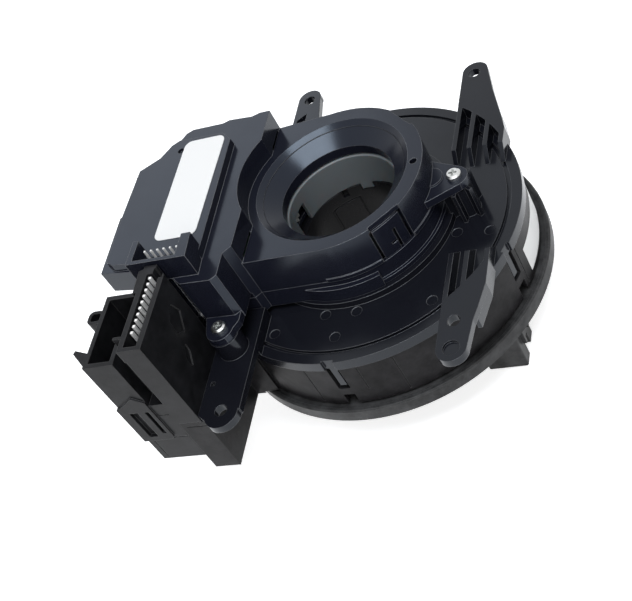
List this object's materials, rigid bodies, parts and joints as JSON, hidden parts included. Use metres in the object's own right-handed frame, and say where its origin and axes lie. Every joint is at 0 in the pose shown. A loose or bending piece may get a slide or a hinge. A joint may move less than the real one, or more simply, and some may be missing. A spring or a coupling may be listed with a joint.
{
  "type": "steering clock spring",
  "caption": "Steering clock spring: drum with a flat cable and turning flange, mounting ears, tall connector block, and an angle sensor with a funnel bore and its two driven gears.",
  "frame": {"origin": "on the spin axis, in the plane of the sleeve's wheel-side end", "axes": "+Z along the spin axis towards the steering column, -X towards the sensor's electronics box, -Y towards the connector block"},
  "size_m": [0.1431, 0.1636, 0.0945],
  "materials": {
    "flange_black": "fine moulded grain, warm black",
    "hub_black": "smooth moulded, near black",
    "case_black": "moulded, dark warm grey",
    "cover_black": "semi-gloss moulded black with a blue sheen",
    "connector_black": "moulded black",
    "sensor_black": "semi-gloss moulded dark slate",
    "ring_pale": "translucent grey-green",
    "gear_white": "natural acetal",
    "carrier": "natural plastic",
    "cable": "clear film over copper",
    "board": "green solder mask",
    "magnet": "sintered magnet",
    "tin": "tinned brass",
    "screw_zinc": "zinc plated",
    "label_white": "white label, blank"
  },
  "bodies": {
    "stator": {"stator_cover": "cover_black", "stator_case": "case_black", "connector_housing": "connector_black", "header_pins": "tin", "socket_terminals": "tin", "ribbon_cable": "cable", "outer_ribbon_carrier": "carrier", "sensor_cover": "sensor_black", "sensor_base": "sensor_black", "sensor_board": "board", "sensor_pins": "tin", "sensor_screws": "screw_zinc", "cover_label": "label_white", "drum_label": "label_white"},
    "rotor": {"rotor_flange": "flange_black", "hub_sleeve": "hub_black", "inner_ribbon_carrier": "carrier", "rotor_connector": "flange_black", "rotor_terminals": "tin", "sensor_ring": "ring_pale"},
    "gear_a": {"measuring_gear_a": "gear_white", "magnet_a": "magnet"},
    "gear_b": {"measuring_gear_b": "gear_white", "magnet_b": "magnet"}
  },
  "joints": [
    {"name": "rotor_spin", "type": "hinge", "parent": "stator", "child": "rotor", "pos_m": [0, 0, 0], "axis": [0, 0, 1], "range_deg": [-900, 900]},
    {"name": "gear_a_spin", "type": "hinge", "parent": "stator", "child": "gear_a", "pos_m": [-0.03342, 0.00351, 0.0361], "axis": [0, 0, 1], "range_deg": [-2280, 2280]},
    {"name": "gear_b_spin", "type": "hinge", "parent": "stator", "child": "gear_b", "pos_m": [-0.02654, -0.01928, 0.0361], "axis": [0, 0, 1], "range_deg": [-2490, 2490]}
  ],
  "couplings": [
    {"joint": "gear_a_spin", "follows": "rotor_spin", "ratio": -2.5},
    {"joint": "gear_b_spin", "follows": "rotor_spin", "ratio": -2.7273}
  ]
}
